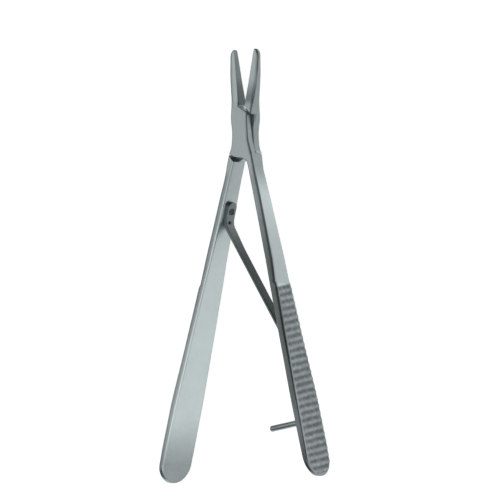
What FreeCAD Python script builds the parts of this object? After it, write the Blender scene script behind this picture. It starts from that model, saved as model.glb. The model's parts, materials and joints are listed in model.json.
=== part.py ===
import FreeCAD, Part
import math
import os
import re

import Sketcher
from FreeCAD import Placement, Rotation, Vector

# Surgical needle holder: two halves crossing in a lap joint, flat ribbed handles, a leaf spring
# that opens them and a stop pin between the handles. It lies on the lower edges of its handles.
# The pivot axis is +Z, the jaws point along +Y and the handles open along X. Everything is drawn
# about the pivot in the open rest position and moved to the resting frame at the end.

os.makedirs("parts", exist_ok=True)
doc = FreeCAD.newDocument("needle_holder")

# Driving sizes, millimetres and degrees
SIZES = [
    ("jaw_angle", 9.5, "each jaw's inner face to the centre line"),
    ("jaw_length", 30.6, "pivot to jaw tip"),
    ("jaw_base_at", 7.5, "start of the jaw, from the pivot"),
    ("jaw_base_reach", 5.4, "outer side of the jaw at its base, from the centre line"),
    ("jaw_base_depth", 4.7, "jaw depth at its base"),
    ("jaw_neck_at", 12.3, "jaw neck, from the pivot"),
    ("jaw_neck_reach", 5.95, "outer side of the jaw at the neck"),
    ("jaw_neck_depth", 3.7, "jaw depth at the neck"),
    ("jaw_waist_at", 19.0, "middle of the jaw, from the pivot"),
    ("jaw_waist_reach", 7.0, "outer side of the jaw at its middle"),
    ("jaw_waist_depth", 3.0, "jaw depth at its middle"),
    ("jaw_nose_at", 27.9, "start of the jaw's round tip, from the pivot"),
    ("jaw_nose_reach", 7.5, "outer side of the jaw at the start of the round tip"),
    ("jaw_nose_depth", 2.1, "jaw depth at the start of the round tip"),
    ("jaw_tip_depth", 1.8, "jaw depth at the tip"),
    ("jaw_bevel", 0.4, "bevel along the outside of the jaw"),
    ("jaw_gap", 0.02, "left between each shut jaw and the centre line"),
    ("joint_depth", 6.0, "both laps together"),
    ("joint_root_depth", 6.4, "depth where the joint runs into the handles"),
    ("joint_slope_at", 2.0, "where the joint starts to slope towards the jaws"),
    ("lap_gap", 0.04, "running gap between the laps"),
    ("upper_stop_radius", 8.1, "pivot to the shoulder below each jaw"),
    ("upper_stop_angle", 44.0, "turn of that shoulder from the centre line"),
    ("lower_stop_radius", 10.0, "pivot to the shoulder above each handle"),
    ("lower_stop_angle", 27.0, "turn of that shoulder from the centre line"),
    ("stop_gap", 0.03, "lap to shoulder where it stops the opening"),
    ("turn_gap", 0.1, "lap to shoulder elsewhere, over the whole stroke"),
    ("stroke", 19.0, "turn of the handles from rest to shut jaws"),
    ("lap_waist", 4.2, "free edge of the lap beside the pivot"),
    ("lap_shoulder", 5.0, "free edge of the lap beside the jaw"),
    ("lap_flare", 4.7, "free edge of the lap above the handle shoulder"),
    ("lap_back", 3.8, "other edge of the lap beside the pivot"),
    ("lap_back_top", 3.4, "other edge of the lap beside the jaw"),
    ("lap_back_low", 5.5, "other edge of the lap above the handle"),
    ("crotch_at", 10.3, "pivot to the crotch between the handles"),
    ("handle_angle", 16.2, "each handle's inner face to the centre line"),
    ("handle_lean", 6.0, "lean of the handles, lower edges inwards"),
    ("handle_bevel", 0.75, "bevel along the handle's inner edges"),
    ("handle_outer_bevel", 0.4, "bevel along the handle's outer edges"),
    ("root_at", 7.0, "start of the handle, from the pivot"),
    ("root_thickness", 3.5, "handle thickness at its start"),
    ("root_top_at", 8.6, "where the lap's edge meets the handle's outer side"),
    ("shank_at", 14.5, "start of the plain shank, from the pivot"),
    ("shank_thickness", 3.1, "shank thickness there"),
    ("shank_width", 6.5, "shank width there"),
    ("neck_at", 48.0, "end of the plain shank, from the pivot"),
    ("neck_thickness", 3.1, "shank thickness there"),
    ("neck_width", 8.7, "shank width there"),
    ("plain_end_at", 56.6, "end of the smooth part, from the pivot"),
    ("plain_end_thickness", 2.7, "thickness there"),
    ("grip_at", 57.4, "start of the ribbed grip, from the pivot"),
    ("grip_thickness", 3.1, "thickness there"),
    ("grip_width", 9.8, "width there"),
    ("palm_at", 101.5, "widening of the grip, from the pivot"),
    ("palm_thickness", 2.8, "thickness there"),
    ("palm_width", 13.5, "width there"),
    ("blade_full_at", 117.0, "where the grip is widest, from the pivot"),
    ("blade_thickness", 2.7, "thickness there"),
    ("blade_width", 14.1, "width there"),
    ("handle_length", 130.5, "pivot to the round end of the handles"),
    ("rib_start", 58.6, "first rib groove, from the pivot"),
    ("rib_pitch", 2.6, "rib spacing along the centre line"),
    ("rib_groove", 1.5, "groove width at the surface"),
    ("rib_depth", 0.4, "groove depth"),
    ("rib_slant", 12.0, "slant of the ribs across the handle"),
    ("rib_border", 1.3, "smooth border along the upper edge"),
    ("pivot_radius", 2.0, "shank of the pivot screw"),
    ("pivot_head_radius", 3.0, "head of the pivot screw"),
    ("pivot_head_height", 0.9, "head of the pivot screw"),
    ("pivot_reach", 2.2, "pivot screw in the front lap"),
    ("pivot_clearance", 0.04, "radial running clearance of the pivot screw"),
    ("seat_clearance", 0.02, "clearance of parts that don't turn"),
    ("slot_width", 0.7, "screwdriver slot of the pivot screw"),
    ("slot_depth", 0.45, "screwdriver slots"),
    ("leaf_width", 3.8, "leaf spring"),
    ("leaf_seat_thickness", 1.5, "leaf spring on its seat"),
    ("leaf_arm_thickness", 0.8, "leaf spring at its tip"),
    ("bend_thinning", 0.45, "share of the leaf spring's thinning that falls in its bend"),
    ("leaf_top_at", 25.3, "upper end of the leaf spring, along the handle"),
    ("leaf_angle", 51.9, "leaf spring arm to the handle it is fixed on"),
    ("leaf_corner_at", 35.7, "corner of the leaf spring's two straight runs"),
    ("leaf_bend_radius", 8.0, "outer side of the bend"),
    ("leaf_tip_gap", 0.55, "leaf spring tip to the other handle at mid depth"),
    ("leaf_seat_gap", 0.02, "leaf spring to its handle"),
    ("spring_screw_at", 30.5, "spring screw, along the handle"),
    ("spring_screw_radius", 0.8, "shank of the spring screw"),
    ("spring_head_radius", 1.25, "head of the spring screw"),
    ("spring_head_height", 0.7, "head of the spring screw"),
    ("spring_head_sunk", 0.25, "head below the spring's face"),
    ("spring_screw_reach", 2.2, "spring screw in the handle"),
    ("spring_slot_width", 0.4, "screwdriver slot of the spring screw"),
    ("spring_pin_at", 34.6, "locating pin, along the handle"),
    ("spring_pin_radius", 0.5, "locating pin"),
    ("spring_pin_length", 2.2, "locating pin standing out of the handle"),
    ("spring_pin_reach", 1.6, "locating pin in the handle"),
    ("spring_pin_bevel", 0.15, "bevel of the locating pin's end"),
    ("stop_pin_at", 108.5, "stop pin, from the pivot"),
    ("stop_pin_radius", 1.18, "stop pin"),
    ("stop_pin_length", 18.5, "stop pin standing out of the handle"),
    ("stop_pin_reach", 1.9, "stop pin in the handle"),
    ("stop_pin_angle", 7.0, "lean of the stop pin from square to the centre line"),
    ("stop_pin_round", 0.45, "bevel of the stop pin's end"),
]
# Counts, and lengths of tools that only have to be long enough
RIB_COUNT = 27
BEND_STEPS = 8
ARM_RUN = "90"

sheet = doc.addObject("Spreadsheet::Sheet", "sizes")
for row, (alias, value, note) in enumerate(SIZES, start=1):
    sheet.set("A%d" % row, note)
    sheet.set("B%d" % row, str(value))
    sheet.setAlias("B%d" % row, alias)
doc.recompute()
NAMES = {alias for alias, value, note in SIZES}


def formula(text):
    """An expression in which each size's name stands for its cell."""
    def cell(word):
        return "sizes." + word.group(0) if word.group(0) in NAMES else word.group(0)
    return re.sub(r"[a-z_]+", cell, text)


def bind(item, **cells):
    """Ties properties to formulas; a double underscore stands for a dot."""
    for name, text in cells.items():
        item.setExpression(name.replace("__", "."), formula(text))
    return item


def outline(name, corners, rotation=None, **placement):
    """A closed sketch of straight lines whose corners are pairs of formulas."""
    sketch = doc.addObject("Sketcher::SketchObject", name)
    if rotation is not None:
        sketch.Placement = Placement(Vector(), rotation)
    bind(sketch, **{"Placement__Base__" + axis: text for axis, text in placement.items()})
    spots = [[float(sheet.evalExpression(formula(text))) for text in pair] for pair in corners]
    count = len(spots)
    sketch.addGeometry([Part.LineSegment(Vector(*spots[corner], 0),
                                         Vector(*spots[(corner + 1) % count], 0))
                        for corner in range(count)])
    rules = [Sketcher.Constraint("Coincident", corner, 2, (corner + 1) % count, 1)
             for corner in range(count)]
    labels = []
    for corner, (pair, spot) in enumerate(zip(corners, spots)):
        for kind, text, value in zip(("DistanceX", "DistanceY"), pair, spot):
            rule = Sketcher.Constraint(kind, -1, 1, corner, 1, value)
            rule.Name = "%s_%d" % (kind, corner)
            rules.append(rule)
            labels.append((rule.Name, text))
    sketch.addConstraint(rules)
    for label, text in labels:
        sketch.setExpression("Constraints." + label, formula(text))
    return sketch


def extrude(name, sketch, length, direction=None, both_ways=True):
    """A solid from a closed sketch, pushed along its normal or along a direction."""
    solid = doc.addObject("Part::Extrusion", name)
    solid.Base = sketch
    solid.Solid = True
    solid.Symmetric = both_ways
    if direction is None:
        solid.DirMode = "Normal"
    else:
        solid.DirMode = "Custom"
        solid.Dir = Vector(0, 0, 1)
        bind(solid, Dir__x=direction[0], Dir__y=direction[1], Dir__z=direction[2])
    return bind(solid, LengthFwd=length)


def loft(name, sections):
    """A solid with flat sides through sections that have equal corner counts."""
    solid = doc.addObject("Part::Loft", name)
    solid.Sections = sections
    solid.Solid = True
    solid.Ruled = True
    return solid


def fuse(name, *shapes):
    solid = doc.addObject("Part::MultiFuse", name)
    solid.Shapes = list(shapes)
    return solid


def common(name, *shapes):
    solid = doc.addObject("Part::MultiCommon", name)
    solid.Shapes = list(shapes)
    return solid


def cut(name, base, tool):
    solid = doc.addObject("Part::Cut", name)
    solid.Base = base
    solid.Tool = tool
    return solid


def cylinder(name, radius, height, rotation=None, **placement):
    """A cylinder along its own Z, with its start at the given formulas."""
    solid = doc.addObject("Part::Cylinder", name)
    if rotation is not None:
        solid.Placement = Placement(Vector(), rotation)
    bind(solid, Radius=radius, Height=height)
    return bind(solid, **{"Placement__Base__" + axis: text for axis, text in placement.items()})


def mirrored(name, source, normal):
    """The other hand of a shape, in a plane through the pivot."""
    solid = doc.addObject("Part::Mirroring", name)
    solid.Source = source
    solid.Base = Vector()
    solid.Normal = normal
    return solid


def ray(radius, angle, side="-1"):
    """A point at a radius and an angle from the handles' direction, towards one side."""
    return ("%s * %s * sin(%s)" % (side, radius, angle), "-1 * %s * cos(%s)" % (radius, angle))


ACROSS_Y = Rotation(Vector(1, 0, 0), 90)     # a sketch in X and Z
ALONG_X = Rotation(Vector(1, 1, 1), 120)     # a sketch in Y and Z
SIDEWAYS = Vector(1, 0, 0)

# Cross-sections of the right handle, from the joint to the round end: distance from the pivot,
# thickness, width and lean
HANDLE_STATIONS = [
    ("root_at", "root_thickness", "joint_root_depth", "0"),
    ("shank_at", "shank_thickness", "shank_width", "handle_lean"),
    ("neck_at", "neck_thickness", "neck_width", "handle_lean"),
    ("plain_end_at", "plain_end_thickness", "(grip_width)", "handle_lean"),
    ("grip_at", "grip_thickness", "grip_width", "handle_lean"),
    ("palm_at", "palm_thickness", "palm_width", "handle_lean"),
    ("blade_full_at", "blade_thickness", "blade_width", "handle_lean"),
    ("(handle_length + 1)", "blade_thickness", "blade_width", "handle_lean"),
]


def handle_section(index, station):
    """A bevelled bar across the handle, leaning with its lower edge inwards."""
    at, thick, width, lean = station
    inner = "(%s * tan(handle_angle))" % at
    half = "(%s / 2)" % width
    slope = "tan(%s)" % lean
    corners = []
    for end in ("-1", "1"):
        level = "%s * %s" % (end, half)
        face_level = "(%s * (%s - handle_bevel))" % (end, half)
        back_level = "(%s * (%s - handle_outer_bevel))" % (end, half)
        side = [("%s + %s * %s" % (inner, slope, face_level), face_level),
                ("%s + handle_bevel + %s * %s" % (inner, slope, level), level),
                ("%s + %s - handle_outer_bevel + %s * %s" % (inner, thick, slope, level), level),
                ("%s + %s + %s * %s" % (inner, thick, slope, back_level), back_level)]
        corners += side if end == "-1" else side[::-1]
    return outline("handle_section_%d" % index, corners, ACROSS_Y, y="-1 * %s" % at)


bar = loft("handle_bar", [handle_section(i, station) for i, station in enumerate(HANDLE_STATIONS)])

# The round end is a disc as wide as the grip
end_disc = cylinder("end_disc", "blade_width / 2", "100", Rotation(Vector(0, 1, 0), 90),
                    y="-1 * handle_length + blade_width / 2")
end_plate = doc.addObject("Part::Box", "end_plate")
bind(end_plate, Length="100", Width="handle_length", Height="blade_width",
     Placement__Base__y="-1 * handle_length + blade_width / 2",
     Placement__Base__z="-1 * blade_width / 2")
rounded = common("handle_blank", bar, fuse("end_profile", end_disc, end_plate))


def outer_face(at):
    """Distance of the grip's outer face from the centre line."""
    return ("(%s * tan(handle_angle) + grip_thickness"
            " + (blade_thickness - grip_thickness) * (%s - grip_at) / (blade_full_at - grip_at))"
            % (at, at))


# Ribs: a comb of wedge-shaped teeth pushed along the slant of the ribs
teeth = []
for rib in range(RIB_COUNT):
    for offset, depth in (("-0.5", "0"), ("-0.15", "1"), ("0.15", "1"), ("0.5", "0")):
        at = "(rib_start + %d * rib_pitch + %s * rib_groove)" % (rib, offset)
        teeth.append(("%s - %s * rib_depth" % (outer_face(at), depth), "-1 * %s" % at))
first_at = "(rib_start - rib_groove)"
last_at = "(rib_start + %d * rib_pitch + rib_groove)" % (RIB_COUNT - 1)
comb_outline = (
    [("%s + 0.02" % outer_face(first_at), "-1 * %s" % first_at)]
    + teeth
    + [("%s + 0.02" % outer_face(last_at), "-1 * %s" % last_at),
       ("%s + 4" % outer_face(last_at), "-1 * %s" % last_at),
       ("%s + 4" % outer_face(first_at), "-1 * %s" % first_at)])
comb = extrude("rib_comb", outline("rib_comb_outline", comb_outline), "blade_width * 1.6", (
    "tan(handle_lean) + tan(rib_slant) * sin(handle_angle)",
    "-1 * tan(rib_slant) * cos(handle_angle)", "1"))
EDGE = [("root_at", "joint_root_depth"), ("shank_at", "shank_width"), ("neck_at", "neck_width"),
        ("grip_at", "grip_width"), ("palm_at", "palm_width"), ("blade_full_at", "blade_width")]
border = extrude("rib_zone", outline("rib_zone_outline", (
    [("-1 * %s" % at, "%s / 2 - rib_border" % width) for at, width in EDGE]
    + [("-1 * handle_length + rib_border + blade_width / 6", "blade_width / 2 - rib_border"),
       ("-1 * handle_length + rib_border", "blade_width / 3 - rib_border"),
       ("-1 * handle_length + rib_border", "-1 * blade_width"),
       ("-1 * root_at", "-1 * blade_width")]), ALONG_X), "200")
right_handle = cut("right_handle", rounded, common("rib_grooves", comb, border))
left_handle = mirrored("left_handle", right_handle, SIDEWAYS)

# The left jaw, from its base in the joint to the round tip: distance from the pivot, reach of
# its outer side, depth
JAW_STATIONS = [
    ("jaw_base_at", "jaw_base_reach", "jaw_base_depth"),
    ("jaw_neck_at", "jaw_neck_reach", "jaw_neck_depth"),
    ("jaw_waist_at", "jaw_waist_reach", "jaw_waist_depth"),
    ("jaw_nose_at", "jaw_nose_reach", "jaw_nose_depth"),
    ("(0.5 * jaw_nose_at + 0.5 * jaw_length)", "(0.96 * jaw_nose_reach)", "(0.94 * jaw_nose_depth)"),
    ("(0.15 * jaw_nose_at + 0.85 * jaw_length)", "(0.89 * jaw_nose_reach)", "(0.9 * jaw_nose_depth)"),
    ("jaw_length", "(0.79 * jaw_nose_reach)", "(jaw_tip_depth * 0.8)"),
]


def jaw_section(index, station):
    """A bar across the jaw with bevels on its outer side; its inner side is still to be cut."""
    at, reach, depth = station
    inner = "(0.5 - %s * tan(jaw_angle))" % at
    half = "(%s / 2)" % depth
    corners = []
    for end in ("-1", "1"):
        side = [(inner, "%s * %s" % (end, half)),
                ("-1 * %s + jaw_bevel" % reach, "%s * %s" % (end, half)),
                ("-1 * %s" % reach, "%s * (%s - jaw_bevel)" % (end, half))]
        corners += side if end == "-1" else side[::-1]
    return outline("jaw_section_%d" % index, corners, ACROSS_Y, y=at)


def on_jaw_face(at):
    """A point of the left jaw's gripping face."""
    return ("-1 * %s * tan(jaw_angle) - jaw_gap" % at, at)


jaw_blank = loft("jaw_blank", [jaw_section(i, station) for i, station in enumerate(JAW_STATIONS)])
jaw_space = extrude("jaw_space", outline("jaw_space_outline", [
    on_jaw_face("(jaw_base_at - 2)"), ("jaw_length", "jaw_base_at - 2"),
    ("jaw_length", "jaw_length + 2"), on_jaw_face("(jaw_length + 2)")]), "20")
left_jaw = cut("left_jaw", jaw_blank, jaw_space)
right_jaw = mirrored("right_jaw", left_jaw, SIDEWAYS)

# The front lap, seen from the front. Its lower edge rests on the left handle's shoulder and then
# keeps inside the circle that the left handle's corner turns on; its upper edge keeps inside the
# shoulder below the right jaw when the jaws are shut.
lower_edge = [ray("((lower_stop_radius - stop_gap) / cos(8))", "(lower_stop_angle + 8)")]
lower_edge.append(ray("(lower_stop_radius - stop_gap)", "lower_stop_angle"))
for part_turn in ("0.33", "0.66", "0.99"):
    lower_edge.append(ray(
        "(lower_stop_radius - turn_gap)",
        "(lower_stop_angle - %s * (lower_stop_angle - handle_angle + stroke))" % part_turn))
lap_outline = [
    ("-1 * jaw_neck_reach + 0.3", "jaw_neck_at - 1"),
    ("-1 * jaw_base_reach", "jaw_base_at + 0.5"),
    ("-1 * lap_shoulder", "0.5 * jaw_base_at"),
    ("-1 * lap_waist", "0.03 * lower_stop_radius"),
    ("-1 * lap_waist", "-0.33 * lower_stop_radius"),
    ("-1 * lap_flare", "-0.68 * lower_stop_radius"),
] + lower_edge + [
    ("crotch_at * tan(handle_angle)", "-1 * crotch_at"),
    ("(crotch_at + 1) * tan(handle_angle) + 0.3", "-1 * crotch_at - 1"),
    ("(crotch_at + 1) * tan(handle_angle) + shank_thickness - 0.1", "-1 * crotch_at - 1"),
    ("root_top_at * tan(handle_angle) + root_thickness", "-1 * root_top_at"),
    ("lap_back_low", "-1 * root_at"),
    ("lap_waist", "-0.33 * lower_stop_radius"),
    ("lap_back", "0"),
    ("lap_back_top", "0.5 * upper_stop_radius"),
    ("(upper_stop_radius - turn_gap) * sin(upper_stop_angle - stroke)",
     "(upper_stop_radius - turn_gap) * cos(upper_stop_angle - stroke)"),
    on_jaw_face("(jaw_neck_at - 2.75)"),
    on_jaw_face("(jaw_neck_at - 1)"),
]
front_plate = extrude("front_plate", outline("front_plate_outline", lap_outline), "20")
side_profile = extrude("joint_side", outline("joint_side_outline", (
    [("-2 * crotch_at", "joint_root_depth / 2 + 0.1"),
     ("-1 * lower_stop_radius", "joint_root_depth / 2"),
     ("joint_slope_at", "joint_depth / 2"), ("jaw_base_at", "jaw_base_depth / 2"),
     ("jaw_neck_at", "jaw_neck_depth / 2"),
     ("jaw_neck_at", "-1 * jaw_neck_depth / 2"), ("jaw_base_at", "-1 * jaw_base_depth / 2"),
     ("joint_slope_at", "-1 * joint_depth / 2"),
     ("-1 * lower_stop_radius", "-1 * joint_root_depth / 2"),
     ("-2 * crotch_at", "-1 * joint_root_depth / 2 - 0.1")]), ALONG_X), "60")
front_lap = common("front_lap", front_plate, side_profile)
rear_lap = mirrored("rear_lap", mirrored("rear_lap_over", front_lap, SIDEWAYS), Vector(0, 0, 1))


def stop_line(radius, angle, along, up):
    """A point on a shoulder line of the front half's rear side."""
    if up:
        return ("-1 * %s * sin(%s) + %s * cos(%s)" % (radius, angle, along, angle),
                "%s * cos(%s) + %s * sin(%s)" % (radius, angle, along, angle))
    return ("%s * sin(%s) + %s * cos(%s)" % (radius, angle, along, angle),
            "-1 * %s * cos(%s) + %s * sin(%s)" % (radius, angle, along, angle))


# The room behind the front lap, in which the rear lap turns
recess = extrude("front_recess", outline("front_recess_outline", [
    stop_line("upper_stop_radius", "upper_stop_angle", "14", True),
    stop_line("upper_stop_radius", "upper_stop_angle", "-14", True),
    stop_line("lower_stop_radius", "lower_stop_angle", "-14", False),
    stop_line("lower_stop_radius", "lower_stop_angle", "14", False),
], z="lap_gap / 2"), "-10", both_ways=False)
rear_recess = mirrored("rear_recess", mirrored("rear_recess_over", recess, SIDEWAYS), Vector(0, 0, 1))

# The pivot screw: head at the back, end hidden in the front lap
pivot_bore = cylinder("pivot_bore", "pivot_radius + seat_clearance",
                      "joint_depth + pivot_reach + seat_clearance", z="-1 * joint_depth")
pivot_turning_bore = fuse(
    "pivot_turning_bore",
    cylinder("pivot_run", "pivot_radius + pivot_clearance", "2 * joint_depth", z="-1 * joint_depth"),
    cylinder("pivot_head_seat", "pivot_head_radius + pivot_clearance",
             "joint_depth / 2 + pivot_head_height + seat_clearance", z="-1 * joint_depth"))
pivot_screw = fuse(
    "pivot_screw_blank",
    cylinder("pivot_shank", "pivot_radius", "joint_depth / 2 + pivot_reach", z="-1 * joint_depth / 2"),
    cylinder("pivot_head", "pivot_head_radius", "pivot_head_height", z="-1 * joint_depth / 2"))
pivot_slot = bind(
    doc.addObject("Part::Box", "pivot_slot"),
    Length="slot_width", Width="4 * pivot_head_radius", Height="2 * slot_depth",
    Placement__Base__x="-1 * slot_width / 2", Placement__Base__y="-2 * pivot_head_radius",
    Placement__Base__z="-1 * joint_depth / 2 - slot_depth")

# The leaf spring, drawn beside the left handle: first word along the handle's inner face,
# second word away from it


def beside_left(along, away):
    """A point of the left handle's inner side, in the pivot's X and Y."""
    return ("-1 * (%s) * sin(handle_angle) + (%s) * cos(handle_angle)" % (along, away),
            "-1 * (%s) * cos(handle_angle) - (%s) * sin(handle_angle)" % (along, away))


LEAN = ("-1 * sin(handle_lean)", "0", "cos(handle_lean)")
bend_start = "(leaf_corner_at - leaf_bend_radius * tan(leaf_angle / 2))"
back_side = []
face_side = []
for step in range(BEND_STEPS + 1):
    turn = "(leaf_angle * %d / %d)" % (step, BEND_STEPS)
    thick = ("(leaf_seat_thickness + (leaf_arm_thickness - leaf_seat_thickness) * bend_thinning * %d / %d)"
             % (step, BEND_STEPS))
    back_side.append(beside_left(
        "%s + leaf_bend_radius * sin(%s)" % (bend_start, turn),
        "leaf_seat_gap + leaf_bend_radius * (1 - cos(%s))" % turn))
    face_side.append(beside_left(
        "%s + (leaf_bend_radius - %s) * sin(%s)" % (bend_start, thick, turn),
        "leaf_seat_gap + leaf_bend_radius - (leaf_bend_radius - %s) * cos(%s)" % (thick, turn)))
arm_back = beside_left(
    "leaf_corner_at + %s * cos(leaf_angle)" % ARM_RUN,
    "leaf_seat_gap + %s * sin(leaf_angle)" % ARM_RUN)
arm_face = beside_left(
    "leaf_corner_at + %s * cos(leaf_angle) - leaf_arm_thickness * sin(leaf_angle)" % ARM_RUN,
    "leaf_seat_gap + %s * sin(leaf_angle) + leaf_arm_thickness * cos(leaf_angle)" % ARM_RUN)
leaf_blank = extrude("leaf_blank", outline("leaf_outline", (
    [beside_left("leaf_top_at - 1", "leaf_seat_gap")] + back_side + [arm_back, arm_face]
    + face_side[::-1] + [beside_left("leaf_top_at - 1", "leaf_seat_gap + leaf_seat_thickness")])),
    "leaf_width", LEAN)
tip_cut = extrude("leaf_tip_cut", outline("leaf_tip_outline", [
    ("root_at * tan(handle_angle) - leaf_tip_gap", "-1 * root_at"),
    ("150 * tan(handle_angle) - leaf_tip_gap", "-150"),
    ("150 * tan(handle_angle) + 60", "-150"),
    ("root_at * tan(handle_angle) + 60", "-1 * root_at")]), "30")
leaf_strip = cut("leaf_strip", leaf_blank, tip_cut)


def along_direction(solid, x, y, angle):
    """Turns a cylinder from upright to the direction (x, y) in plan, tilted by an angle from it."""
    return bind(solid, Placement__Rotation__Axis__x="-1 * (%s)" % y, Placement__Rotation__Axis__y=x,
                Placement__Rotation__Axis__z="0", Placement__Rotation__Angle=angle)


def across_left(name, radius, height, along, away):
    """A cylinder square to the left handle's inner face, starting beside it."""
    solid = along_direction(doc.addObject("Part::Cylinder", name),
                            "cos(handle_angle)", "-1 * sin(handle_angle)", "90 - handle_lean")
    x, y = beside_left(along, "(%s) * cos(handle_lean)" % away)
    return bind(solid, Radius=radius, Height=height, Placement__Base__x=x, Placement__Base__y=y,
                Placement__Base__z="(%s) * sin(handle_lean)" % away)


# Holes of the leaf spring, its screw and its locating pin
leaf_face = "(leaf_seat_gap + leaf_seat_thickness)"
head_base = "(%s - spring_head_sunk - spring_head_height)" % leaf_face
leaf_end = common("leaf_end_round", leaf_strip, fuse(
    "leaf_plan",
    across_left("leaf_round_top", "leaf_width / 2", "8", "leaf_top_at + leaf_width / 2", "-2"),
    extrude("leaf_plan_rest", outline("leaf_plan_outline", [
        beside_left("leaf_top_at + leaf_width / 2", "-3"),
        beside_left("leaf_top_at + leaf_width / 2", "90"),
        beside_left("120", "90"), beside_left("120", "-3")]), "leaf_width * 2", LEAN)))
leaf_holes = fuse(
    "leaf_holes",
    across_left("leaf_screw_hole", "spring_screw_radius + seat_clearance", "9", "spring_screw_at", "-2"),
    across_left("leaf_head_seat", "spring_head_radius + seat_clearance", "5", "spring_screw_at",
                head_base + " - seat_clearance"),
    across_left("leaf_pin_hole", "spring_pin_radius + 2 * seat_clearance", "9", "spring_pin_at", "-2"))
spring_shank = across_left("spring_shank", "spring_screw_radius", "spring_screw_reach + %s" % head_base,
                           "spring_screw_at", "-1 * spring_screw_reach")
spring_head = across_left("spring_head", "spring_head_radius", "spring_head_height",
                          "spring_screw_at", head_base)
slot_at = "(%s + spring_head_height - slot_depth)" % head_base
spring_slot = extrude("spring_slot", outline("spring_slot_outline", [
    beside_left("spring_screw_at - spring_slot_width / 2", slot_at),
    beside_left("spring_screw_at + spring_slot_width / 2", slot_at),
    beside_left("spring_screw_at + spring_slot_width / 2", slot_at + " + 3"),
    beside_left("spring_screw_at - spring_slot_width / 2", slot_at + " + 3")]), "8", LEAN)
spring_bores = fuse(
    "spring_bores",
    across_left("spring_screw_bore", "spring_screw_radius + seat_clearance",
                "spring_screw_reach + seat_clearance + 1", "spring_screw_at",
                "-1 * spring_screw_reach - seat_clearance"),
    across_left("spring_pin_bore", "spring_pin_radius + seat_clearance",
                "spring_pin_reach + seat_clearance + 1", "spring_pin_at",
                "-1 * spring_pin_reach - seat_clearance"))

spring_pin_body = across_left(
    "spring_pin_body", "spring_pin_radius",
    "spring_pin_reach + spring_pin_length - spring_pin_bevel", "spring_pin_at",
    "-1 * spring_pin_reach")
spring_pin_end = across_left(
    "spring_pin_end", "spring_pin_radius - spring_pin_bevel",
    "spring_pin_length", "spring_pin_at", "0")

# The stop pin in the right handle
PIN_LINE = ("-1 * cos(stop_pin_angle)", "-1 * sin(stop_pin_angle)", "90")


def on_pin_line(solid, radius, height, start):
    """A solid of revolution along the stop pin's line; the start is counted from the handle."""
    along_direction(solid, *PIN_LINE)
    return bind(solid, Height=height,
                Placement__Base__x=(
                    "stop_pin_at * tan(handle_angle) - (%s) * cos(stop_pin_angle)" % start),
                Placement__Base__y="-1 * stop_pin_at - (%s) * sin(stop_pin_angle)" % start,
                **radius)


stop_body = on_pin_line(doc.addObject("Part::Cylinder", "stop_body"), {"Radius": "stop_pin_radius"},
                        "stop_pin_length + stop_pin_reach - stop_pin_round", "-1 * stop_pin_reach")
stop_end = on_pin_line(
    doc.addObject("Part::Cone", "stop_end"),
    {"Radius1": "stop_pin_radius", "Radius2": "stop_pin_radius - stop_pin_round"},
    "stop_pin_round", "stop_pin_length - stop_pin_round")
stop_bore = on_pin_line(
    doc.addObject("Part::Cylinder", "stop_bore"), {"Radius": "stop_pin_radius + seat_clearance"},
    "stop_pin_reach + seat_clearance + 3", "-1 * stop_pin_reach - seat_clearance")

# The pieces, moved so that the middle of the footprint is the origin
NODES = {
    "front_half": cut("front_half", fuse("front_blank", left_jaw, front_lap, right_handle),
                      fuse("front_cuts", recess, pivot_bore, stop_bore)),
    "rear_half": cut("rear_half", fuse("rear_blank", right_jaw, rear_lap, left_handle),
                     fuse("rear_cuts", rear_recess, pivot_turning_bore, spring_bores)),
    "pivot_screw": cut("pivot_screw", pivot_screw, pivot_slot),
    "leaf_spring": cut("leaf_spring", leaf_end, leaf_holes),
    "spring_screw": cut("spring_screw", fuse("spring_screw_blank", spring_shank, spring_head), spring_slot),
    "spring_pin": fuse("spring_pin", spring_pin_body, spring_pin_end),
    "stop_pin": fuse("stop_pin", stop_body, stop_end),
}
MOVE = {"y": "(handle_length - jaw_length) / 2", "z": "blade_width / 2"}
for name, solid in NODES.items():
    solid.Label = name
    bind(solid, **{"Placement__Base__" + axis: text for axis, text in MOVE.items()})

doc.recompute()
for item in doc.Objects:
    if "Invalid" in item.State or "Error" in item.State:
        raise RuntimeError("%s is not computed: %s" % (item.Label, item.State))
for name, solid in NODES.items():
    shape = solid.Shape
    if shape.isNull() or not shape.isValid() or len(shape.Solids) != 1:
        raise RuntimeError("%s is not one sound solid" % name)
for name, solid in NODES.items():
    solid.Shape.exportStep("parts/%s.step" % name)
    box = solid.Shape.BoundBox
    print("%-12s %8.1f mm3  x %.2f..%.2f  y %.2f..%.2f  z %.2f..%.2f" % (
        name, solid.Shape.Volume, box.XMin, box.XMax, box.YMin, box.YMax, box.ZMin, box.ZMax))
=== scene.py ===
import json
import math

import bmesh
import bpy
import numpy as np
from mathutils import Matrix, Vector


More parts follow.
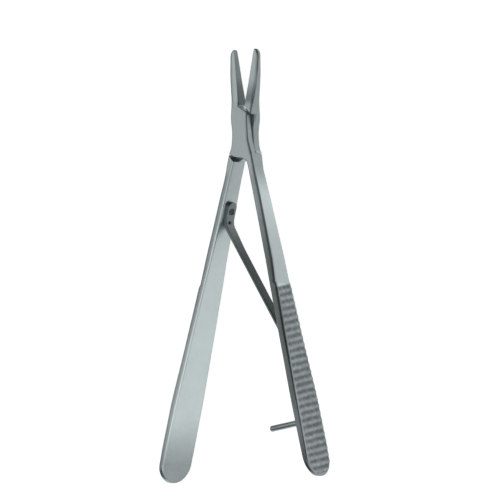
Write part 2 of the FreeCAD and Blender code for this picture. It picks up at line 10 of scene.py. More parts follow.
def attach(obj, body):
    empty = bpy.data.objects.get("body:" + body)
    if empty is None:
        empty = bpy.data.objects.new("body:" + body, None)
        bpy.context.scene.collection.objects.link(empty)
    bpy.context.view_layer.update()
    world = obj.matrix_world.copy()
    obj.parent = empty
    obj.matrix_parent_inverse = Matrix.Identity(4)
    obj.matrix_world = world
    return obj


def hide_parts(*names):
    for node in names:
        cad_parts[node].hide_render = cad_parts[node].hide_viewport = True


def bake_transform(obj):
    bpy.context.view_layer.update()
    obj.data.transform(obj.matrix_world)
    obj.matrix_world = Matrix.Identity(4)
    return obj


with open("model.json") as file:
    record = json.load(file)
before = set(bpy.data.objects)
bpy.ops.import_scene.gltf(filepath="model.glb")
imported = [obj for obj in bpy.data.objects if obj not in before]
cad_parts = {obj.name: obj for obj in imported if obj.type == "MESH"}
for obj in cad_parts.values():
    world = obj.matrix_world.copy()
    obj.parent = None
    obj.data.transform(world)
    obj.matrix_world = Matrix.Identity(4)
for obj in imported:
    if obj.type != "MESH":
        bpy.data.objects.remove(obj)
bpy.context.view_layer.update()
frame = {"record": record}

# Everything is laid out in millimetres about the pivot: X towards the right handle, Y towards
# the jaws, Z towards the front lap. PIVOT moves it into the frame.
MM = 0.001
MERGE_WITHIN = 0.0002 * MM
PIVOT = np.array(frame["record"]["behaviour"]["joints"][0]["pos_m"], dtype=float)

JAW_ANGLE = math.radians(9.5)
JAW_GAP = 0.03
HANDLE_ANGLE = math.radians(16.2)
HANDLE_LEAN = math.radians(6.0)
HANDLE_LENGTH = 129.7
LAP_LEVEL = 0.03
SMOOTH_UP_TO = math.radians(32.0)


# Curves and profiles

def smooth_path(points, count):
    """Points spread evenly along a Catmull-Rom curve through the given ones.

    Between two points p1 and p2 with neighbours p0 and p3 the curve is
    0.5 * (2 p1 + (p2 - p0) t + (2 p0 - 5 p1 + 4 p2 - p3) t^2 + (3 p1 - p0 - 3 p2 + p3) t^3).
    """
    points = np.asarray(points, dtype=float)
    padded = np.vstack([2 * points[0] - points[1], points, 2 * points[-1] - points[-2]])
    runs = len(points) - 1
    t = np.linspace(0, runs, runs * 24 + 1)
    run = np.minimum(t.astype(int), runs - 1)
    t = (t - run)[:, None]
    p0, p1, p2, p3 = padded[run], padded[run + 1], padded[run + 2], padded[run + 3]
    curve = 0.5 * (2 * p1 + (p2 - p0) * t + (2 * p0 - 5 * p1 + 4 * p2 - p3) * t ** 2
                   + (3 * p1 - p0 - 3 * p2 + p3) * t ** 3)
    return spread(curve, count)


def spread(points, count):
    """Points at equal steps along a run of straight lines."""
    points = np.asarray(points, dtype=float)
    steps = np.linalg.norm(np.diff(points, axis=0), axis=1)
    along = np.concatenate([[0], np.cumsum(steps)])
    wanted = np.linspace(0, along[-1], count)
    return np.column_stack([np.interp(wanted, along, points[:, axis])
                            for axis in range(points.shape[1])])


def smooth_value(at, stations):
    """A value along a table of (place, value), eased between its entries.

    Between two entries the share is 0.75 u + 0.25 (3 u^2 - 2 u^3), which softens the slope's
    change at each entry without flattening the run.
    """
    places, values = np.array(stations, dtype=float).T
    at = np.clip(at, places[0], places[-1])
    cell = np.clip(np.searchsorted(places, at) - 1, 0, len(places) - 2)
    u = (at - places[cell]) / (places[cell + 1] - places[cell])
    share = 0.75 * u + 0.25 * (3 * u ** 2 - 2 * u ** 3)
    return values[cell] + (values[cell + 1] - values[cell]) * share


def ease(u):
    """Smooth step from 0 to 1."""
    u = np.clip(u, 0, 1)
    return u * u * (3 - 2 * u)


# Sizes of one half, drawn as the front half: left jaw, front lap, right handle

def on_jaw_face(y):
    """A point of the left jaw's gripping face."""
    return (-y * math.tan(JAW_ANGLE) - JAW_GAP, y)


def on_inner_face(a):
    """A point of the right handle's inner face, a millimetres below the pivot."""
    return (a * math.tan(HANDLE_ANGLE), -a)


CROTCH_AT = 11.3
LAP_STEP = 0.02
HANDLE_FROM = 14.5
HALF_DEPTH = [(-123, 6.98), (-117, 6.98), (-101.5, 6.75), (-80, 5.9), (-57.4, 4.9), (-48, 4.35),
              (-29, 3.72), (-14.5, 3.25), (-8, 3.12), (1, 3.0), (4.5, 2.88), (8, 2.6), (12.3, 2.0),
              (19, 1.5), (27.9, 1.05), (29.9, 0.88), (30.6, 0.68)]
THICKNESS = [(14.5, 3.1), (24, 3.4), (48, 3.45), (56.4, 3.0), (57.6, 3.45), (101.5, 3.05),
             (117, 2.7), (124, 2.4), (131, 1.6)]
END_RADIUS = 6.98
END_ROUND = 0.7
END_CENTRE = HANDLE_LENGTH - END_RADIUS
RIB_START = 57.6
RIB_PITCH = 2.6
RIB_END = 129.0
RIB_DEPTH = 0.36
RIB_SLANT = math.tan(math.radians(12)) * math.cos(HANDLE_ANGLE)
RIB_BORDER = 1.3

JAW_OUTSIDE = [(-5.75, 30.6), (-6.5, 30.35), (-7.1, 29.5), (-7.45, 27.9), (-7.3, 22.7), (-7.0, 19),
               (-6.42, 15.2), (-5.95, 12.3), (-5.5, 8.5), (-5.3, 6.14)]
LAP_LEFT = [(-5.3, 6.12), (-4.9, 3.4), (-4.3, 0.6), (-4.2, -2.2), (-4.45, -5.2), (-5.0, -7.1),
            (-5.72, -8.2)]
LAP_LOWER = [(-5.72, -8.2), (-4.5, -8.86), (-2.9, -9.5), (-1.2, -9.87), (0.5, -9.98), (2.0, -10.6),
             on_inner_face(CROTCH_AT)]
LAP_UPPER = [on_jaw_face(9.5), (0.76, 8.36), (3.18, 7.04)]
LAP_RIGHT = [(3.18, 7.04), (3.4, 4), (3.75, 0.4), (4.15, -3.2), (5.2, -6.4)]
SHOULDER_RIGHT = [(5.2, -6.4), (5.95, -8.5)]


def rounded_section(side_points, edge_points, outer_points, corner_points):
    """The template of a closed ring round a bar, as shares and directions.

    Each ring point is the corner circle's centre, which lies at a share across and a share up,
    plus a direction times the corner radius. The ring runs up the left side, over the top, down
    the right side and back along the bottom.
    """
    quarter = np.linspace(0, math.pi / 2, corner_points + 2)[1:-1]
    up = np.linspace(0, 1, side_points)
    over = np.linspace(0, 1, edge_points)
    down = np.linspace(1, 0, outer_points)
    flat = np.zeros_like
    full = np.ones_like
    across = np.concatenate([flat(up), flat(quarter), over, full(quarter), full(down),
                             full(quarter), over[::-1], flat(quarter)])
    upward = np.concatenate([up, full(quarter), full(over), full(quarter), down, flat(quarter),
                             flat(over), flat(quarter)])
    aim_x = np.concatenate([-full(up), -np.cos(quarter), flat(over), np.sin(quarter), full(down),
                            np.cos(quarter), flat(over), -np.sin(quarter)])
    aim_z = np.concatenate([flat(up), np.sin(quarter), full(over), np.cos(quarter), flat(down),
                            -np.sin(quarter), -full(over), -np.cos(quarter)])
    return across, upward, aim_x, aim_z


def bar_rings(left, right, low, high, left_round, right_round, template):
    """Rings of a bar whose sides follow two edge lines.

    A ring point lies at left + (right - left) / width * p and at low + (high - low) * q, where
    p and q trace the template's rounded rectangle in true sizes.
    """
    across, upward, aim_x, aim_z = [row[None, :] for row in template]
    span = right - left
    width = np.linalg.norm(span, axis=1)[:, None]
    height = (high - low)[:, None]
    limit = 0.49 * np.minimum(width, height)
    round_left = np.minimum(left_round[:, None], limit)
    round_right = np.minimum(right_round[:, None], limit)
    corner = round_left * (1 - across) + round_right * across
    p = round_left + across * (width - round_left - round_right) + aim_x * corner
    q = corner + upward * (height - 2 * corner) + aim_z * corner
    plan = left[:, None, :] + (span / width)[:, None, :] * p[:, :, None]
    return plan, q / height


def tube_mesh(rings, turned_over=False):
    """A closed mesh through rings of equal size, with each end ring closed by a fan.

    Faces point outwards where a ring runs anticlockwise about the tube's direction; where it
    runs the other way, the faces are turned over.
    """
    rows, count, _ = rings.shape
    row = np.arange(rows - 1)[:, None]
    spot = np.arange(count)[None, :]
    following = (spot + 1) % count
    a = row * count + spot
    b = row * count + following
    quads = np.stack([a, b, b + count, a + count], axis=-1).reshape(-1, 4)
    ends = np.stack([rings[0].mean(axis=0), rings[-1].mean(axis=0)])
    points = np.vstack([rings.reshape(-1, 3), ends])
    first, last = rows * count, rows * count + 1
    spot = np.arange(count)
    following = (spot + 1) % count
    start_fan = np.stack([following, spot, np.full(count, first)], axis=-1)
    base = (rows - 1) * count
    end_fan = np.stack([base + spot, base + following, np.full(count, last)], axis=-1)
    faces = [quads, start_fan, end_fan]
    if turned_over:
        faces = [group[:, ::-1] for group in faces]
    return points, faces


def to_frame(points):
    """Millimetres about the pivot to metres in the frame."""
    return points * MM + PIVOT


def make_piece(name, parts, body, material):
    """One object from (points, [faces]) parts given in millimetres about the pivot."""
    points = []
    faces = []
    start = 0
    for part_points, part_faces in parts:
        points.append(to_frame(part_points))
        for group in part_faces:
            faces += (group + start).tolist()
        start += len(part_points)
    mesh = bpy.data.meshes.new(name)
    mesh.from_pydata(np.vstack(points).tolist(), [], faces)
    mesh.validate()
    mesh.polygons.foreach_set("use_smooth", [True] * len(mesh.polygons))
    mesh.set_sharp_from_angle(angle=SMOOTH_UP_TO)
    mesh.materials.append(material)
    piece = bpy.data.objects.new(name, mesh)
    bpy.context.scene.collection.objects.link(piece)
    if body:
        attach(piece, body)
    return piece


def eased_steps(values):
    """Each value becomes the mean of the run round it, which slopes the steps."""
    reach = 6
    padded = np.pad(values, reach, mode="edge")
    return np.convolve(padded, np.full(2 * reach + 1, 1 / (2 * reach + 1)), mode="valid")


def half_rings(lean, border_side):
    """Rings of one half from the jaw's tip to the handle's round end.

    The side lines are smooth runs through measured points; the depth is a function of y alone.
    Where the half is a lap, its lower level is the lap's, and elsewhere it is minus the depth.
    On the handle, x grows with z by the lean's tangent, and z falls with x by the same, which
    turns the section. The round end narrows as sqrt(r^2 - (a - c)^2), and the last of its
    thickness is rounded off. Returned with the rings, for each point: how deep in a groove it
    lies, its share of the ribbed side, whether it lies on the gripping face, and its painted
    shade, which is painted highlight where it is below nothing.
    """
    # Left line, right line, whether it is a lap, and the radii of the left and right edges
    joint_sections = [
        (smooth_path(JAW_OUTSIDE, 70),
         spread([(-5.2, 30.6), on_jaw_face(30.3), on_jaw_face(9.7)], 70), False, 1.1, 0.14),
        (spread(LAP_LEFT[:2], 12), smooth_path(LAP_UPPER, 12), True, 0.5, 0.5),
        (smooth_path(LAP_LEFT[1:], 40)[1:], smooth_path(LAP_RIGHT, 40)[1:], True, 0.35, 0.7),
        (smooth_path(LAP_LOWER, 30)[1:], spread(SHOULDER_RIGHT, 30)[1:], True, 0.35, 0.9),
        (spread([on_inner_face(CROTCH_AT + LAP_STEP), on_inner_face(HANDLE_FROM)], 12),
         spread([(5.956, -8.52), (on_inner_face(HANDLE_FROM)[0] + THICKNESS[0][1], -HANDLE_FROM)],
                12), False, 0.6, 0.9),
    ]
    left = np.vstack([section[0] for section in joint_sections])
    right = np.vstack([section[1] for section in joint_sections])
    lap, left_round, right_round = [
        np.concatenate([np.full(len(section[0]), float(section[item])) for section in joint_sections])
        for item in (2, 3, 4)]

    plain = np.linspace(15.2, 56.2, 42)
    step = np.linspace(56.4, 58.2, 10)
    ribbed = np.arange(58.4, END_CENTRE + 1, 0.22)
    turn = np.linspace(math.asin(1.2 / END_RADIUS), math.radians(88.6), 64)
    end = END_CENTRE + END_RADIUS * np.sin(turn)
    a = np.concatenate([plain, step, ribbed, end])
    thick = smooth_value(a, THICKNESS)
    to_end = np.clip(HANDLE_LENGTH - a, 0, END_ROUND)
    thick = thick - 1.2 * (END_ROUND - np.sqrt(END_ROUND ** 2 - (END_ROUND - to_end) ** 2))
    inner = np.column_stack(on_inner_face(a))
    inner[:, 0] += (smooth_value(a, THICKNESS) - thick) / 2
    outer = inner + np.column_stack([thick, np.zeros_like(a)])
    left = np.vstack([left, inner])
    right = np.vstack([right, outer])
    lap = np.concatenate([lap, np.zeros_like(a)])
    left_round = np.concatenate([left_round, 0.7 + 0.25 * ease((a - 15) / 12)])
    right_round = np.concatenate([right_round, 1.45 - 0.75 * ease((a - 74) / 26)])

    left_round = eased_steps(left_round)
    right_round = eased_steps(right_round)

    middle_y = (left[:, 1] + right[:, 1]) / 2
    depth = smooth_value(middle_y, HALF_DEPTH)
    low = np.where(lap > 0.5, LAP_LEVEL, -depth)
    template = rounded_section(18, 7, 28, 5)
    plan, rise = bar_rings(left, right, low, depth, left_round, right_round, template)
    y = plan[:, :, 1]
    depth_here = smooth_value(y, HALF_DEPTH)
    past = np.clip((-y - END_CENTRE) / END_RADIUS, 0, 0.99999)
    depth_here = np.where(past > 0, END_RADIUS * np.sqrt(1 - past ** 2), depth_here)
    low_here = np.where(lap[:, None] > 0.5, LAP_LEVEL, -depth_here)
    z = low_here + rise * (depth_here - low_here)

    # Ribs sink into the outer side, all but a border along one edge
    place = -y - RIB_SLANT * z * border_side
    wave = (0.5 - 0.5 * np.cos(2 * math.pi * (place - RIB_START) / RIB_PITCH)) ** 0.8
    among_ribs = ease((place - RIB_START) / 0.8) * ease((RIB_END - place) / 0.8)
    inside = among_ribs * ease((depth_here - border_side * z - RIB_BORDER + 0.3) / 0.5)
    is_outer = (template[2][None, :] > 0.3) & (-y > RIB_START - 2)
    facing = np.clip(template[2], 0, 1)[None, :]
    # The groove depth and the ribbed share also darken the steel's colour as painted shade
    groove = np.where(is_outer, wave * inside * facing, 0)
    ribbed_share = np.where(is_outer, among_ribs * facing, 0)
    x = plan[:, :, 0] - RIB_DEPTH * groove

    turned = ease((-y - 7) / 7.5)
    across = x - (x.min(axis=1) + x.max(axis=1))[:, None] / 2
    x = x + math.tan(lean) * z * turned
    z = z - math.tan(lean) * across * ease((-y - 12.5) / 6)
    on_jaw = (y > 9.75) & (template[2][None, :] > 0.8)

    # Painted shade, and painted highlight where it is below nothing: the inner faces, the run before
    # the ribs, the handles' upper side and the jaws
    to_left, to_right, to_top, to_bottom = [np.clip(aim, 0, 1)[None, :] for aim in (
        -template[2], template[2], template[3], -template[3])]
    near_left = np.clip(1 - template[0] / 0.45, 0, 1)[None, :]
    jaw = ease((y - 9) / 3)
    dull = (to_left * (0.3 * ease((y + 9) / 2) + 0.16 * ease((y + 48) / 30) * (y < -9))
            + to_right * (1 - jaw) * 0.28 * ease((y + 25) / 13)
            + to_right * 0.12 * ease((-y - 26) / 22) * (-y < RIB_START)
            + to_top * (jaw * (0.26 * near_left - 0.11)
                        + 0.33 * ease((-y - 24) / 26) * (1 - 0.6 * ease((-y - 100) / 16)))
            + to_bottom * (jaw * (0.38 * ease((21 - y) / 9) - 0.08) - 0.17 * ease((-y - 60) / 30))
            + on_jaw * 0.26 * ease((22 - y) / 10))
    return np.stack([x, y, z], axis=-1), groove, ribbed_share, on_jaw.astype(float), dull


def flipped(points):
    """Turned half round about the long axis."""
    return points * np.array([-1.0, 1.0, -1.0])


# Leaf spring: a strip beside the left handle, along and away from its inner face

LEAF_TOP = 26.9
LEAF_CORNER = 35.7
LEAF_ANGLE = math.radians(51.9)
LEAF_BEND = 5.5
LEAF_WIDTH = 3.8
LEAF_SEAT = 1.5
LEAF_ARM = 0.8
LEAF_SEAT_GAP = 0.02
LEAF_END_GAP = 2.8
ALONG_LEFT = np.array([-math.sin(HANDLE_ANGLE), -math.cos(HANDLE_ANGLE), 0.0])
AWAY_LEFT = np.array([math.cos(HANDLE_ANGLE), -math.sin(HANDLE_ANGLE), 0.0])
LEAN_LEFT = np.array([-math.sin(HANDLE_LEAN), 0.0, math.cos(HANDLE_LEAN)])
AWAY_SQUARE = np.cross(ALONG_LEFT, LEAN_LEFT)
AWAY_SQUARE = AWAY_SQUARE / np.linalg.norm(AWAY_SQUARE) * np.sign(AWAY_SQUARE @ AWAY_LEFT)
SCREW_BORE = 0.82
SCREW_AT = 30.5
SPRING_PIN_AT = 34.6


def beside_left(along, away):
    """Points at distances along and away from the left handle's inner face, at mid depth."""
    return np.multiply.outer(along, ALONG_LEFT) + np.multiply.outer(away, AWAY_LEFT)


def leaf_length():
    """Lengths of the strip's seat, bend and arm; the arm ends a gap before the right handle.

    The arm starts at the bend's end and meets the line x = -y tan(handle angle).
    """
    start = beside_left(LEAF_CORNER + LEAF_BEND * math.tan(LEAF_ANGLE / 2) * math.cos(LEAF_ANGLE),
                        LEAF_BEND * math.tan(LEAF_ANGLE / 2) * math.sin(LEAF_ANGLE))
    aim = math.cos(LEAF_ANGLE) * ALONG_LEFT + math.sin(LEAF_ANGLE) * AWAY_LEFT
    slope = math.tan(HANDLE_ANGLE)
    reach = (-start[0] - slope * start[1]) / (aim[0] + slope * aim[1])
    seat = LEAF_CORNER - LEAF_BEND * math.tan(LEAF_ANGLE / 2) - LEAF_TOP
    return seat, LEAF_BEND * LEAF_ANGLE, reach - LEAF_END_GAP


def leaf_rings():
    """Rings of the strip: a seat run, an arc that turns by the leaf angle, and a straight arm.

    The back follows (s, 0), then (s0 + R sin f, R (1 - cos f)), then the tangent; the face lies
    one thickness inside it. The top is round: half the width is sqrt(r^2 - (r - d)^2).
    Returned with the rings: the painted shade of each point, on the arm's face side. It is below
    nothing, a painted highlight, on the arm's front edge.
    """
    seat, bend, arm = leaf_length()
    total = seat + bend + arm
    half = LEAF_WIDTH / 2
    d = np.concatenate([half - half * np.cos(np.linspace(0.12, math.pi / 2, 14)),
                        np.linspace(half + 0.3, total - 0.4, 150),
                        [total - 0.2, total - 0.08, total]])
    turn = np.clip((d - seat) / LEAF_BEND, 0, LEAF_ANGLE)
    straight = np.maximum(d - seat - bend, 0)
    start = LEAF_TOP + np.minimum(d, seat)
    along = start + LEAF_BEND * np.sin(turn) + straight * np.cos(turn)
    away = LEAF_SEAT_GAP + LEAF_BEND * (1 - np.cos(turn)) + straight * np.sin(turn)
    thick = LEAF_SEAT + (LEAF_ARM - LEAF_SEAT) * ease((d - seat) / (bend + 12))
    thick = thick * (0.35 + 0.65 * np.sqrt(np.clip((total - d) / 0.5, 0, 1)))
    normal = (-np.sin(turn)[:, None] * ALONG_LEFT + np.cos(turn)[:, None] * AWAY_LEFT)
    back = beside_left(along, away)
    face = back + normal * thick[:, None]
    half_width = np.where(d < half, np.sqrt(np.maximum(half ** 2 - (half - d) ** 2, 0.02)), half)
    half_width = half_width - 0.25 * ease((d - total + 0.6) / 0.6)
    template = rounded_section(6, 9, 6, 3)
    across, upward, aim_x, aim_z = [row[None, :] for row in template]
    corner = np.minimum(0.2, 0.45 * np.minimum(thick, 2 * half_width))[:, None]
    p = corner + across * (thick[:, None] - 2 * corner) + aim_x * corner
    q = corner + upward * (2 * half_width[:, None] - 2 * corner) + aim_z * corner
    share = (p / thick[:, None])[:, :, None]
    level = (q - half_width[:, None])[:, :, None]
    arm_share = ease((d - seat - 0.5 * bend) / 9)[:, None]
    # Painted shade on the arm's face side and painted highlight on its front edge
    dull = arm_share * (0.1 * np.clip(aim_x, 0, 1) - 0.6 * np.clip(aim_z, 0, 1))
    return back[:, None, :] * (1 - share) + face[:, None, :] * share + LEAN_LEFT * level, dull


def turned_mesh(profile, start, aim, segments=48):
    """A surface of revolution: a profile of (height, radius) turned about a line.

    A point is start + height * aim + radius * (cos f * u + sin f * v), with u and v square to
    the aim; the two ends are closed by fans.
    """
    aim = np.asarray(aim, dtype=float) / np.linalg.norm(aim)
    u = np.cross(aim, [0.0, 0.0, 1.0] if abs(aim[2]) < 0.9 else [0.0, 1.0, 0.0])
    u = u / np.linalg.norm(u)
    v = np.cross(aim, u)
    height, radius = np.array(profile, dtype=float).T
    turn = np.linspace(0, 2 * math.pi, segments, endpoint=False)
    spoke = np.cos(turn)[:, None] * u + np.sin(turn)[:, None] * v
    rings = (np.asarray(start, dtype=float) + height[:, None, None] * aim
             + radius[:, None, None] * spoke[None, :, :])
    return tube_mesh(rings)


def cut_away(piece, cutter_parts):
    """Removes closed cutters from a piece; points that then coincide are merged."""
    for parts in cutter_parts:
        cutter = make_piece("cutter", [parts], None, piece.data.materials[0])
        modifier = piece.modifiers.new("cut", "BOOLEAN")
        modifier.operation = "DIFFERENCE"
        modifier.solver = "EXACT"
        modifier.object = cutter
        graph = bpy.context.evaluated_depsgraph_get()
        mesh = bpy.data.meshes.new_from_object(piece.evaluated_get(graph))
        piece.modifiers.remove(modifier)
        work = bmesh.new()
        work.from_mesh(mesh)
        bmesh.ops.remove_doubles(work, verts=work.verts, dist=MERGE_WITHIN)
        bmesh.ops.dissolve_degenerate(work, edges=work.edges, dist=MERGE_WITHIN / 2)
        work.to_mesh(mesh)
        work.free()
        piece.data = mesh
        bpy.data.objects.remove(cutter)


# Shader maths

HATCH_TURNS = 2 * math.pi / 0.7
HATCH_DEPTH = 3.0
STAIN = 0.06
MARKS = ("groove", "ribbed", "gripping", "dull")


class Socket:
    """A node output with the operators that the finishes use."""

    def __init__(self, tree, link):
        self.tree = tree
        self.link = link

    def node(self, kind, settings=None, **inputs):
        """Adds a node, sets its settings first and then its sockets, and returns it."""
        made = self.tree.nodes.new(kind)
        for key, value in (settings or {}).items():
            if key == "stops":
                ramp = made.color_ramp
                while len(ramp.elements) < len(value):
                    ramp.elements.new(0.5)
                for element, (place, colour) in zip(ramp.elements, value):
                    element.position = place
                    element.color = (*colour, 1.0)
            else:
                setattr(made, key, value)
        for key, value in inputs.items():
            socket = made.inputs[int(key[1:]) if key[1:].isdigit() else key]
            if isinstance(value, Socket):
                self.tree.links.new(value.link, socket)
            else:
                socket.default_value = value
        return made

    def out(self, node, index=0):
        """One of a node's outputs."""
        return Socket(self.tree, node.outputs[index])

    def math(self, operation, other=0.0, swap=False):
        """A maths node on this output and another or a number."""
        first, second = (other, self) if swap else (self, other)
        made = self.node("ShaderNodeMath", {"operation": operation}, i0=first, i1=second)
        return self.out(made)

    def __add__(self, other):
        return self.math("ADD", other)

    def __sub__(self, other):
        return self.math("SUBTRACT", other)

    def __rsub__(self, other):
        return self.math("SUBTRACT", other, swap=True)

    def __mul__(self, other):
        return self.math("MULTIPLY", other)

    def clamp(self):
        """Kept between 0 and 1."""
        made = self.node("ShaderNodeClamp", i0=self)
        return self.out(made)


def steel(name, colour, roughness, grain=0.3, stretch=(1, 1, 1), painted_shade_run=None):
    """Blasted or brushed steel: fine grain, slow stains, and smears of lower roughness.

    The grain is noise at about 0.1 mm in the stretch's direction, the stains at about 8 mm, and
    the smears are the same noise turned towards roughness. A run of painted shade, given as its
    first y, its last y and an amount, darkens the steel along it; a steel that has one also shows
    the marks stored on its piece: painted shade in the grooves, over the ribbed side, in the
    gripping face's hatch and over that face, and the last mark's painted shade and highlight.
    """
    material = bpy.data.materials.new(name)
    material.use_nodes = True
    tree = material.node_tree
    shader = tree.nodes["Principled BSDF"]
    base = Socket(tree, None)
    place = base.out(tree.nodes.new("ShaderNodeTexCoord"), 3)
    mapped = base.out(base.node("ShaderNodeMapping", Vector=place, Scale=tuple(
        value / MM for value in stretch)))
    even = base.out(base.node("ShaderNodeMapping", Vector=place, Scale=(1 / MM, 1 / MM, 1 / MM)))
    fine = base.out(base.node("ShaderNodeTexNoise", Vector=mapped, Scale=6.0, Detail=3.0,
                              Roughness=0.6))
    slow = base.out(base.node("ShaderNodeTexNoise", Vector=even, Scale=0.12, Detail=4.0,
                              Roughness=0.55))
    patch = base.out(base.node("ShaderNodeTexNoise", Vector=even, Scale=0.6, Detail=3.0,
                               Roughness=0.6))
    shade = (slow - 0.5) * (2 * STAIN) + (fine - 0.5) * 0.10 + (patch - 0.5) * STAIN
    height = fine
    if painted_shade_run:
        start, end, amount = painted_shade_run
        split = base.node("ShaderNodeSeparateXYZ", Vector=place)
        y, z = base.out(split, 1), base.out(split, 2)
        # Painted shade that deepens along the run of y
        reach = ((y - start) * (1.0 / (end - start))).clamp() * amount
        groove, ribbed, gripping, dull = [
            base.out(base.node("ShaderNodeAttribute", {"attribute_name": mark}), 2)
            for mark in MARKS]
        along, upward = y * (1 / MM), z * (1 / MM)
        hatch = (((along + upward) * HATCH_TURNS).math("SINE")
                 + ((along - upward) * HATCH_TURNS).math("SINE"))
        hatch = (hatch * 0.25 + 0.5) * gripping
        # Painted shade in the rib grooves, over the ribbed side, in the hatch's hollows and over the
        # gripping face, then the stored painted shade and highlight; the run's painted shade is added
        # back on the ribbed side
        shade = (shade - reach - groove * 0.2 - ribbed * (0.29 - (patch - 0.5) * 0.3)
                 - hatch * 0.42 - gripping * 0.2 - dull + reach * ribbed)
        height = fine - hatch * HATCH_DEPTH
    share = (shade + 0.5).clamp()
    ramp = base.node("ShaderNodeValToRGB", {"stops": [
        (0.0, tuple(0.22 * value for value in colour)),
        (0.5, colour),
        (1.0, tuple(min(1.0, 1.6 * value) for value in colour))]}, Fac=share)
    tree.links.new(ramp.outputs[0], shader.inputs["Base Color"])
    rough = ((slow - 0.5) * 0.12 + (fine - 0.5) * 0.08 + roughness).clamp()
    tree.links.new(rough.link, shader.inputs["Roughness"])
    bump = base.node("ShaderNodeBump", Strength=grain, Distance=0.02 * MM, Height=height)
    tree.links.new(bump.outputs[0], shader.inputs["Normal"])
    shader.inputs["Metallic"].default_value = 1.0
    return material


# The runs given here are painted shade: towards the handles' round ends, and along the leaf's arm
# past its bend
SATIN = steel("satin_steel", (0.48, 0.54, 0.545), 0.31, grain=0.35, painted_shade_run=(-0.056, -0.073, 0.3))
SPRING = steel("spring_steel", (0.17, 0.195, 0.2), 0.36, stretch=(1, 0.15, 1),
               painted_shade_run=(0.017, 0.003, 0.32))
DARKENED = steel("darkened_steel", (0.06, 0.07, 0.072), 0.42)
TURNED = steel("turned_steel", (0.36, 0.41, 0.415), 0.3, stretch=(4, 0.4, 0.4))


# The pieces

def rounded_end(radius, edge):
    """The last part of a turned profile, as (height below the end, radius) for a rounded edge.

    The edge is a quarter circle: height edge (1 - sin f) and radius r - edge (1 - cos f).
    """
    turn = np.linspace(0, math.pi / 2, 6)
    return list(zip(edge * (1 - np.sin(turn)), radius - edge * (1 - np.cos(turn))))


def turned_piece(name, body, material, start, aim, stations, radius, edge):
    """A turned part: stations up to its last step, then a rounded edge and a flat end."""
    top = stations[-1][0]
    profile = stations[:-1] + [(top - drop, size) for drop, size in rounded_end(radius, edge)]
    profile.append((top, 0.4 * radius))
    return make_piece(name, [turned_mesh(profile, start, aim)], body, material)


def slot_cutter(centre, across, along, up, width, length, low, high):
    """A box for a screwdriver slot, from low to high along the screw's line."""
    corners = []
    for level in (low, high):
        for side, end in ((-1, -1), (1, -1), (1, 1), (-1, 1)):
            corners.append(centre + across * side * width / 2 + along * end * length / 2
                           + up * level)
    quads = [[0, 3, 2, 1], [4, 5, 6, 7], [0, 1, 5, 4], [1, 2, 6, 5], [2, 3, 7, 6], [3, 0, 4, 7]]
    return np.array(corners), [np.array(quads)]


def bore(start, aim, *stations):
    """A round, stepped cutter along a line, from (height, radius) stations."""
    return turned_mesh(stations, start, aim, 64)


DOWN = np.array([0.0, 0.0, -1.0])
SIDEWAYS = np.array([1.0, 0.0, 0.0])
LENGTHWAYS = np.array([0.0, 1.0, 0.0])
AT_PIVOT = np.zeros(3)
STOP_AT = 109.1
STOP_ANGLE = math.radians(7.0)
STOP_AIM = np.array([-math.cos(STOP_ANGLE), -math.sin(STOP_ANGLE), 0.0])
BEND_SHARE = 0.85
screw_foot = beside_left(SCREW_AT, 0.0)
pin_foot = beside_left(SPRING_PIN_AT, 0.0)
stop_foot = np.array([*on_inner_face(STOP_AT), 0.0])


def mark_surfaces(piece, *marks):
    """Stores the marks on the points; the last two points close the ends."""
    for name, values in zip(MARKS, marks):
        share = piece.data.attributes.new(name, "FLOAT", "POINT")
        share.data.foreach_set("value", np.append(values.ravel(), [0.0, 0.0]).astype(np.float32))


front_rings, *marks = half_rings(HANDLE_LEAN, 1)
front = make_piece("front_half_steel", [tube_mesh(front_rings, turned_over=True)], "front", SATIN)
mark_surfaces(front, *marks)
cut_away(front, [bore(AT_PIVOT, -DOWN, (-0.5, 2.02), (2.22, 2.02))])
rear_rings, *marks = half_rings(-HANDLE_LEAN, -1)
rear_points, rear_faces = tube_mesh(rear_rings, turned_over=True)
rear = make_piece("rear_half_steel", [(flipped(rear_points), rear_faces)], "rear", SATIN)
mark_surfaces(rear, *marks)
cut_away(rear, [bore(AT_PIVOT, DOWN, (-0.5, 2.04), (2.08, 2.04), (2.08, 3.04), (4.0, 3.04)),
                bore(screw_foot, AWAY_SQUARE, (-2.22, SCREW_BORE), (0.6, SCREW_BORE)),
                bore(pin_foot, AWAY_SQUARE, (-1.62, 0.52), (0.6, 0.52))])
strip_rings, strip_painted_shade_and_highlight = leaf_rings()
unmarked = np.zeros_like(strip_painted_shade_and_highlight)
leaf = make_piece("leaf_spring_strip", [tube_mesh(strip_rings)], None, SPRING)
mark_surfaces(leaf, unmarked, unmarked, unmarked, strip_painted_shade_and_highlight)
cut_away(leaf, [bore(screw_foot, AWAY_SQUARE, (-1.0, SCREW_BORE), (0.55, SCREW_BORE),
                     (0.55, 1.27), (4.0, 1.27)),
                bore(pin_foot, AWAY_SQUARE, (-1.0, 0.54), (4.0, 0.54))])

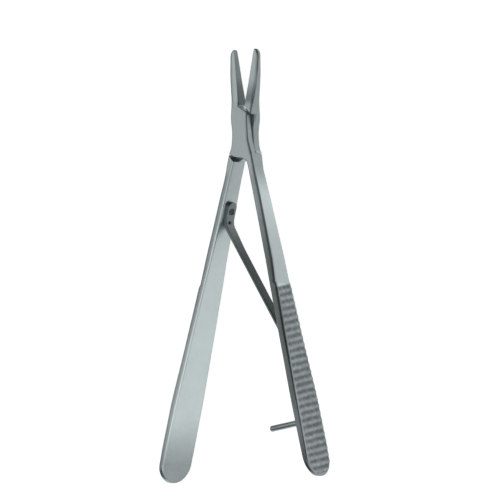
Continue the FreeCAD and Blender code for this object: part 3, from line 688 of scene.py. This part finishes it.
pivot_head = turned_piece("pivot_screw_steel", "front", TURNED, AT_PIVOT, DOWN,
                          [(-2.2, 1.7), (-1.9, 2.0), (2.1, 2.0), (2.1, 3.0), (3.0, 3.0)], 3.0, 0.16)
cut_away(pivot_head, [slot_cutter(AT_PIVOT, SIDEWAYS, LENGTHWAYS, DOWN, 0.7, 8.0, 2.55, 4.0)])
spring_head = turned_piece("spring_screw_steel", "rear", DARKENED, screw_foot, AWAY_SQUARE,
                           [(-2.2, 0.6), (-2.0, 0.8), (0.57, 0.8), (0.57, 1.25), (1.27, 1.25)],
                           1.25, 0.1)
cut_away(spring_head, [slot_cutter(screw_foot, ALONG_LEFT, LEAN_LEFT, AWAY_SQUARE,
                                   0.4, 4.0, 0.85, 3.0)])
locating_pin = turned_piece("spring_pin_steel", "rear", DARKENED, pin_foot, AWAY_SQUARE,
                            [(-1.6, 0.35), (-1.45, 0.5), (2.2, 0.5)], 0.5, 0.16)
stop_bar = turned_piece("stop_pin_steel", "front", TURNED, stop_foot, STOP_AIM,
                        [(-1.9, 1.2), (18.0, 1.2)], 1.2, 0.4)

seat_length = leaf_length()[0]
bend_from = to_frame(beside_left(LEAF_TOP + seat_length, 0.0))
arm_end = to_frame(strip_rings[-1].mean(axis=0))
bend_to = bend_from + BEND_SHARE * (arm_end - bend_from)
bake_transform(leaf)
for piece, node in ((front, "front_half"), (rear, "rear_half"), (leaf, "leaf_spring"),
                    (pivot_head, "pivot_screw"), (spring_head, "spring_screw"),
                    (locating_pin, "spring_pin"), (stop_bar, "stop_pin")):
    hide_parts(node)


# Floor, camera and light

def area_light(name, at, towards, size, power):
    """A rectangular soft light in metres and watts, facing a point."""
    lamp = bpy.data.lights.new(name, "AREA")
    lamp.shape = "RECTANGLE"
    lamp.size, lamp.size_y = size
    lamp.energy = power
    holder = bpy.data.objects.new(name, lamp)
    holder.location = at
    holder.rotation_euler = (Vector(towards) - Vector(at)).to_track_quat("-Z", "Y").to_euler()
    bpy.context.scene.collection.objects.link(holder)


def look_along(camera, towards_eye, centre, distance):
    """Stands the camera on a line from the centre, with the jaws upwards in its picture."""
    back = Vector(towards_eye).normalized()
    up = Vector((0.0, 1.0, 0.0))
    up = (up - back * up.dot(back)).normalized()
    side = up.cross(back)
    camera.matrix_world = Matrix((
        (side.x, up.x, back.x, centre[0] + back.x * distance),
        (side.y, up.y, back.y, centre[1] + back.y * distance),
        (side.z, up.z, back.z, centre[2] + back.z * distance),
        (0.0, 0.0, 0.0, 1.0)))


FIELD = 0.1859
CAMERA_DISTANCE = 8.0
SENSOR = 36.0
TOWARDS_EYE = (0.7058, -0.06, 0.7058)
VIEW_CENTRE = np.array([1.3, -44.2, -1.1])
LIT_CENTRE = np.array([0.0, -45.0, 0.0])
FLOOR_REACH = 2.5
FLOOR_GLOW = 0.73
ROOM_GLOW = 0.14

lens = bpy.data.cameras.new("camera")
lens.sensor_width = SENSOR
lens.lens = SENSOR * CAMERA_DISTANCE / FIELD
lens.clip_end = 20.0
camera = bpy.data.objects.new("camera", lens)
bpy.context.scene.collection.objects.link(camera)
look_along(camera, TOWARDS_EYE, to_frame(VIEW_CENTRE), CAMERA_DISTANCE)
bpy.context.scene.camera = camera

floor_mesh = bpy.data.meshes.new("floor")
floor_mesh.from_pydata([(-FLOOR_REACH, -FLOOR_REACH, 0), (FLOOR_REACH, -FLOOR_REACH, 0),
                        (FLOOR_REACH, FLOOR_REACH, 0), (-FLOOR_REACH, FLOOR_REACH, 0)],
                       [], [(0, 1, 2, 3)])
floor = bpy.data.objects.new("floor", floor_mesh)
bpy.context.scene.collection.objects.link(floor)


def floor_finish():
    """A pale matt floor that the camera, reflections and refractions see as nearly white."""
    material = bpy.data.materials.new("pale_floor")
    material.use_nodes = True
    tree = material.node_tree
    tree.nodes.clear()
    base = Socket(tree, None)
    path = tree.nodes.new("ShaderNodeLightPath")
    seen = (base.out(path, 0) + base.out(path, 3) + base.out(path, 6)).clamp()
    matt = base.node("ShaderNodeBsdfDiffuse", Color=(0.8, 0.8, 0.8, 1.0))
    glow = base.node("ShaderNodeEmission", Color=(1.0, 1.0, 1.0, 1.0), Strength=seen * FLOOR_GLOW)
    both = tree.nodes.new("ShaderNodeAddShader")
    tree.links.new(matt.outputs[0], both.inputs[0])
    tree.links.new(glow.outputs[0], both.inputs[1])
    output = tree.nodes.new("ShaderNodeOutputMaterial")
    tree.links.new(both.outputs[0], output.inputs[0])
    return material


floor_mesh.materials.append(floor_finish())

world = bpy.data.worlds.new("studio")
world.use_nodes = True
background = world.node_tree.nodes["Background"]
background.inputs["Color"].default_value = (0.97, 0.99, 1.0, 1.0)
background.inputs["Strength"].default_value = ROOM_GLOW
bpy.context.scene.world = world

middle = to_frame(LIT_CENTRE)
area_light("upper_left_light", (-1.17, 0.06, 1.17), middle, (1.6, 0.65), 2.3)
area_light("eye_side_light", (1.6, -1.5, 1.5), middle, (3.0, 3.0), 34.0)
area_light("overhead_light", (0.0, -0.05, 2.2), middle, (1.9, 1.9), 5.4)

bpy.context.scene.view_settings.view_transform = "Standard"
